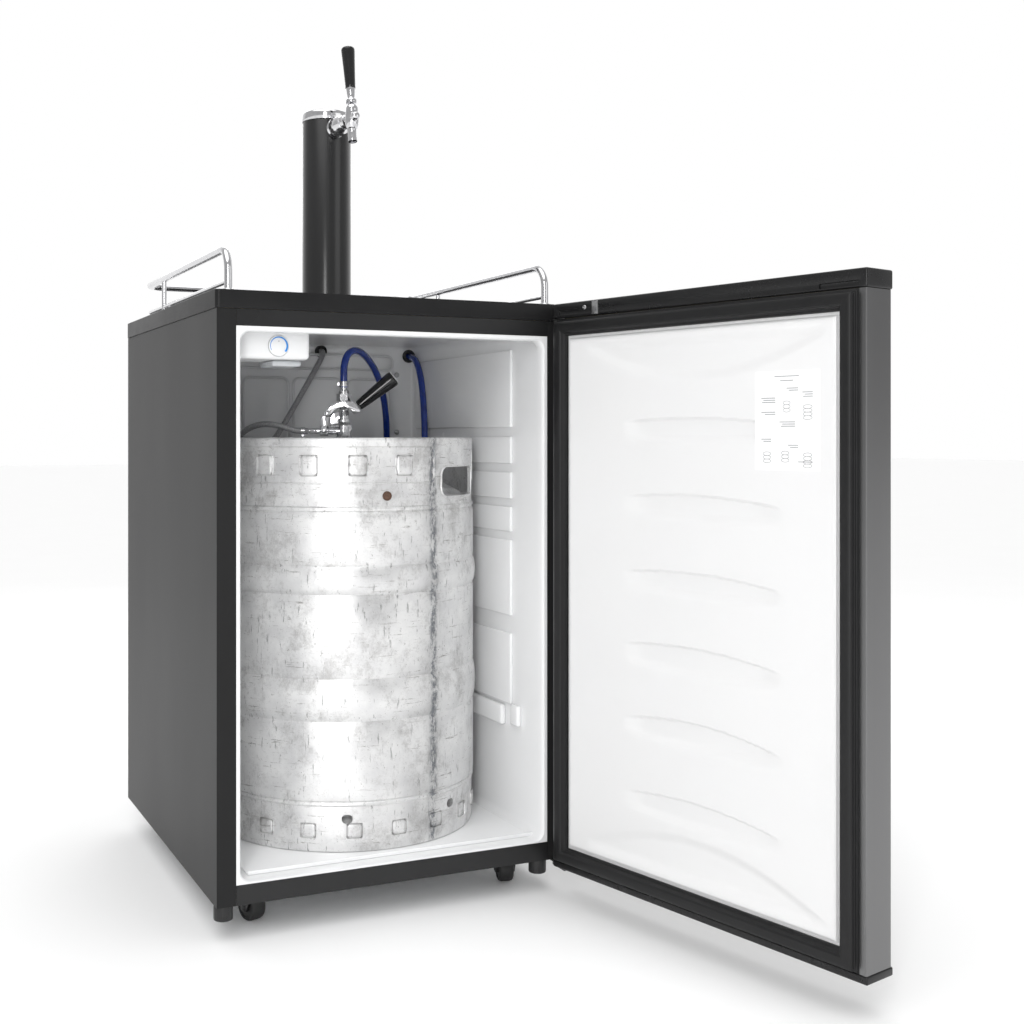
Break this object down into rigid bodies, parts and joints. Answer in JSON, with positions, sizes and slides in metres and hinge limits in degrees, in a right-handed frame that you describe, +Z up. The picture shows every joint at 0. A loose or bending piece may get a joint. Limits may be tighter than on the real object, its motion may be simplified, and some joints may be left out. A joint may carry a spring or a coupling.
{
  "type": "kegerator",
  "caption": "Keg refrigerator on casters, its door open on a tapped keg, with a draft tower and guard rail on the worktop and a gas cylinder hung at the rear.",
  "frame": {"origin": "on the floor, at the middle of the whole object as it stands with its door open", "axes": "+X to the cabinet's right seen from the front, +Y towards its back, +Z up"},
  "size_m": [0.6424, 1.2192, 1.2245],
  "materials": {
    "black_steel": "satin",
    "black_worktop": "fine grain, matte",
    "galvanised": "galvanised, dull",
    "white_liner": "smooth moulded",
    "grey_plate": "coated, matte",
    "foam": "rigid foam",
    "stainless": "brushed",
    "rubber": "matte",
    "black_plastic": "satin",
    "chrome": "polished",
    "keg_metal": "worn satin",
    "blue_hose": "gloss",
    "grey_hose": "braided, satin",
    "lens": "frosted",
    "brass": "machined",
    "painted_cylinder": "brushed",
    "gauge_face": "white"
  },
  "bodies": {
    "cabinet": {"left_side_panel": "black_steel", "right_side_panel": "black_steel", "back_panel": "galvanised", "header_rail": "black_steel", "sill_rail": "black_steel", "base_pan": "galvanised", "top_panel": "black_worktop", "inner_liner": "white_liner", "foam_insulation": "foam", "floor_tray": "white_liner", "evaporator_plate": "grey_plate", "thermostat_housing": "white_liner", "lamp_lens": "lens", "compressor": "black_plastic", "relay_cover": "black_plastic", "power_inlet": "black_plastic", "top_hinge_bracket": "black_steel", "bottom_hinge_bracket": "black_steel", "guard_rail": "chrome", "tower_column": "black_steel", "tower_cap": "chrome", "faucet_shank": "chrome", "faucet_coupling_nut": "chrome", "faucet_body": "chrome", "keg": "keg_metal", "keg_valve": "chrome", "coupler_body": "chrome", "coupler_nut": "chrome", "gas_valve_body": "chrome", "beer_line": "blue_hose", "gas_line": "grey_hose", "co2_bracket": "galvanised", "co2_cylinder": "painted_cylinder", "co2_valve": "brass", "regulator": "brass", "pressure_gauge": "gauge_face"},
    "door": {"door_skin": "stainless", "door_foam": "foam", "door_liner": "white_liner", "door_gasket": "rubber", "door_top_cap": "black_plastic", "door_bottom_cap": "black_plastic"},
    "faucet_handle": {"faucet_lever": "chrome", "tap_handle": "black_plastic"},
    "coupler_handle": {"coupler_lever": "chrome", "coupler_grip": "black_plastic"},
    "gas_paddle": {"gas_valve_lever": "chrome"},
    "thermostat_knob": {"thermostat_dial": "white_liner"},
    "cylinder_handwheel": {"co2_handwheel": "black_plastic"},
    "left_foot": {"left_levelling_foot": "black_plastic"},
    "right_foot": {"right_levelling_foot": "black_plastic"},
    "front_left_caster": {"front_left_caster_fork": "black_plastic"},
    "front_left_wheel": {"front_left_caster_wheel": "black_plastic"},
    "front_right_caster": {"front_right_caster_fork": "black_plastic"},
    "front_right_wheel": {"front_right_caster_wheel": "black_plastic"},
    "rear_left_caster": {"rear_left_caster_fork": "black_plastic"},
    "rear_left_wheel": {"rear_left_caster_wheel": "black_plastic"},
    "rear_right_caster": {"rear_right_caster_fork": "black_plastic"},
    "rear_right_wheel": {"rear_right_caster_wheel": "black_plastic"}
  },
  "joints": [
    {"name": "door_hinge", "type": "hinge", "parent": "cabinet", "child": "door", "pos_m": [0.17309, -0.12607, 0.43], "axis": [0, 0, 1], "range_deg": [-103.1, 15]},
    {"name": "faucet_pull", "type": "hinge", "parent": "cabinet", "child": "faucet_handle", "pos_m": [-0.06721, 0.08103, 1.128], "axis": [1, 0, 0], "range_deg": [0, 40]},
    {"name": "coupler_pull", "type": "hinge", "parent": "cabinet", "child": "coupler_handle", "pos_m": [-0.08295, 0.14368, 0.6804], "axis": [-0.3486, -0.9373, 0], "range_deg": [-35, 12]},
    {"name": "gas_shutoff", "type": "hinge", "parent": "cabinet", "child": "gas_paddle", "pos_m": [-0.08736, 0.14532, 0.6545], "axis": [-0.3486, -0.9373, 0], "range_deg": [0, 90]},
    {"name": "thermostat_turn", "type": "hinge", "parent": "cabinet", "child": "thermostat_knob", "pos_m": [-0.22521, -0.06097, 0.766], "axis": [0, 1, 0], "range_deg": [-140, 140]},
    {"name": "cylinder_valve_turn", "type": "hinge", "parent": "cabinet", "child": "cylinder_handwheel", "pos_m": [0.06529, 0.54203, 0.666], "axis": [0, 0, 1], "range_deg": [0, 540]},
    {"name": "front_left_swivel", "type": "hinge", "parent": "cabinet", "child": "front_left_caster", "pos_m": [-0.24911, -0.04297, 0.045], "axis": [0, 0, 1], "continuous": true},
    {"name": "front_left_roll", "type": "hinge", "parent": "front_left_caster", "child": "front_left_wheel", "pos_m": [-0.25321, -0.03169, 0.0188], "axis": [0.9397, 0.342, 0], "continuous": true},
    {"name": "front_right_swivel", "type": "hinge", "parent": "cabinet", "child": "front_right_caster", "pos_m": [0.12409, -0.04297, 0.045], "axis": [0, 0, 1], "continuous": true},
    {"name": "front_right_roll", "type": "hinge", "parent": "front_right_caster", "child": "front_right_wheel", "pos_m": [0.1272, -0.03137, 0.0188], "axis": [0.9659, -0.2588, 0], "continuous": true},
    {"name": "rear_left_swivel", "type": "hinge", "parent": "cabinet", "child": "rear_left_caster", "pos_m": [-0.24911, 0.40553, 0.045], "axis": [0, 0, 1], "continuous": true},
    {"name": "rear_left_roll", "type": "hinge", "parent": "rear_left_caster", "child": "rear_left_wheel", "pos_m": [-0.25321, 0.39426, 0.0188], "axis": [-0.9397, 0.342, 0], "continuous": true},
    {"name": "rear_right_swivel", "type": "hinge", "parent": "cabinet", "child": "rear_right_caster", "pos_m": [0.12409, 0.40553, 0.045], "axis": [0, 0, 1], "continuous": true},
    {"name": "rear_right_roll", "type": "hinge", "parent": "rear_right_caster", "child": "rear_right_wheel", "pos_m": [0.12916, 0.39466, 0.0188], "axis": [-0.9063, -0.4226, 0], "continuous": true},
    {"name": "left_foot_screw", "type": "slide", "parent": "cabinet", "child": "left_foot", "axis": [0, 0, -1], "range_m": [0, 0.025]},
    {"name": "right_foot_screw", "type": "slide", "parent": "cabinet", "child": "right_foot", "axis": [0, 0, -1], "range_m": [0, 0.025]}
  ]
}
